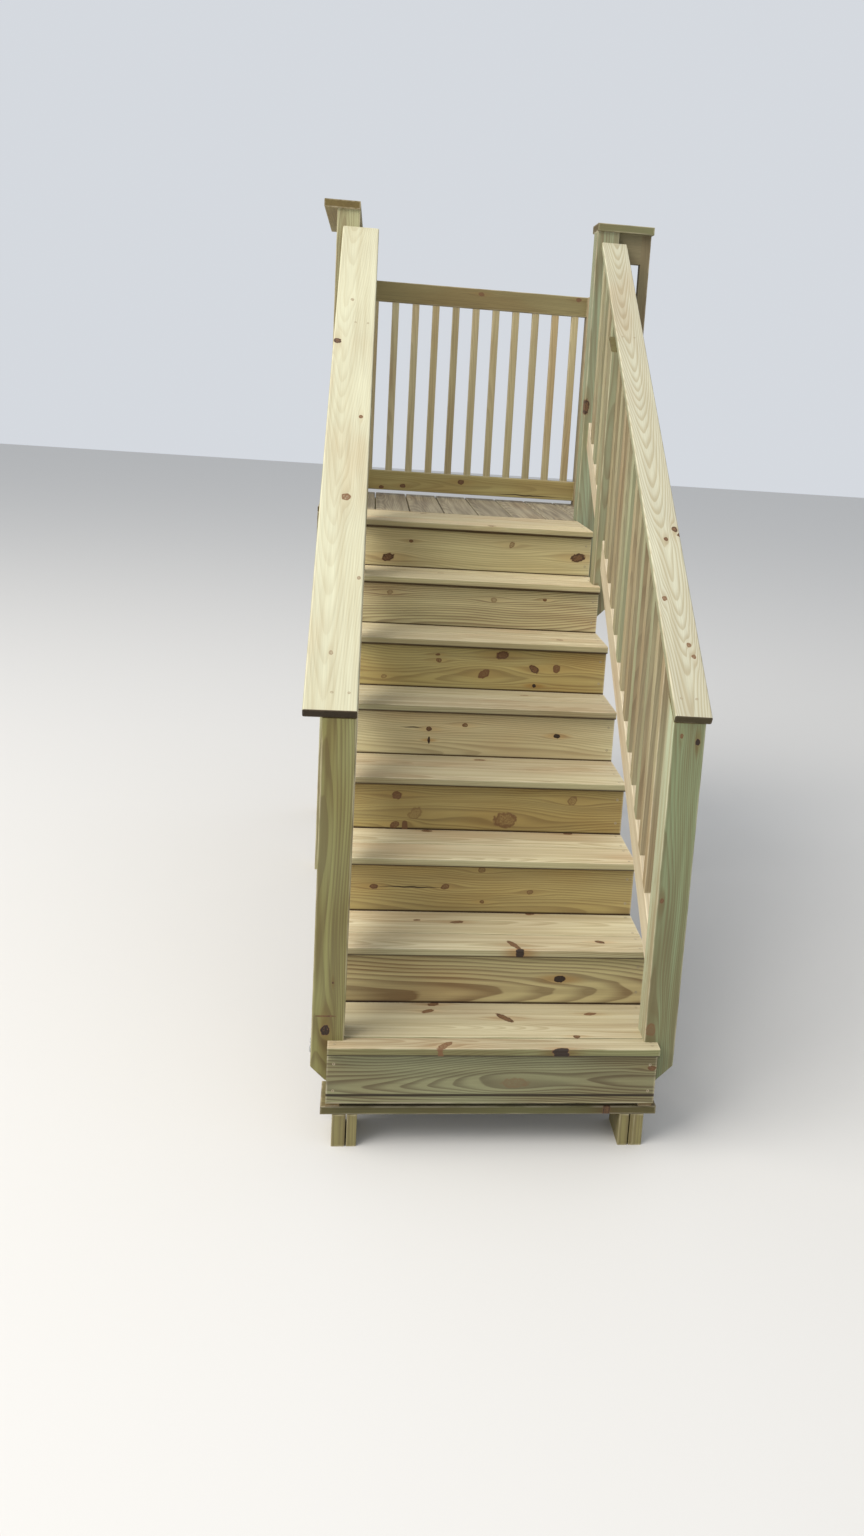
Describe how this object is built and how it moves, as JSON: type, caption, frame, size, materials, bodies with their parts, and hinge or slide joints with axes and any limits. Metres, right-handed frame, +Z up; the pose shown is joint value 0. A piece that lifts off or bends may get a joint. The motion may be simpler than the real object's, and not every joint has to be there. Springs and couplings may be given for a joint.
{
  "type": "deck stairs",
  "caption": "Straight wooden deck stairs with closed risers, pitched handrails and square balusters, climbing to a small guarded landing.",
  "frame": {"origin": "centre of the bounding box seen from above, on the ground", "axes": "+Y the way the flight climbs, +X to the right of someone climbing, +Z up"},
  "size_m": [1.3094, 3.102, 2.756],
  "materials": {
    "tread_wood": "matte",
    "green_wood": "matte",
    "riser_wood": "matte",
    "weathered_wood": "matte",
    "fasteners": "satin"
  },
  "bodies": {
    "root": {"sill_board": "green_wood", "levelling_blocks_left": "green_wood", "levelling_blocks_right": "green_wood", "stringer_left": "green_wood", "stringer_right": "green_wood", "riser_1": "riser_wood", "riser_2": "riser_wood", "riser_3": "riser_wood", "riser_4": "riser_wood", "riser_5": "riser_wood", "riser_6": "riser_wood", "riser_7": "riser_wood", "riser_8": "riser_wood", "tread_1": "tread_wood", "tread_2": "tread_wood", "tread_3": "tread_wood", "tread_4": "tread_wood", "tread_5": "tread_wood", "tread_6": "tread_wood", "tread_7": "tread_wood", "tread_8": "tread_wood", "bottom_post_left": "green_wood", "bottom_post_right": "green_wood", "top_post_left": "green_wood", "top_post_right": "green_wood", "handrail_cap_left": "tread_wood", "handrail_cap_right": "tread_wood", "bottom_rail_left": "green_wood", "bottom_rail_right": "green_wood", "balusters_left": "riser_wood", "balusters_right": "riser_wood", "landing_post_left": "green_wood", "landing_post_right": "green_wood", "back_post_left": "weathered_wood", "back_post_right": "weathered_wood", "deck_rim_front": "weathered_wood", "deck_rim_back": "weathered_wood", "deck_rim_left": "weathered_wood", "deck_rim_right": "weathered_wood", "deck_joists": "weathered_wood", "deck_boards": "weathered_wood", "back_guard_top_rail": "weathered_wood", "back_guard_bottom_rail": "weathered_wood", "back_guard_balusters": "weathered_wood", "left_guard_cap": "weathered_wood", "left_guard_panel": "weathered_wood", "return_guard_cap": "weathered_wood", "return_guard_frame": "weathered_wood"}
  },
  "joints": []
}
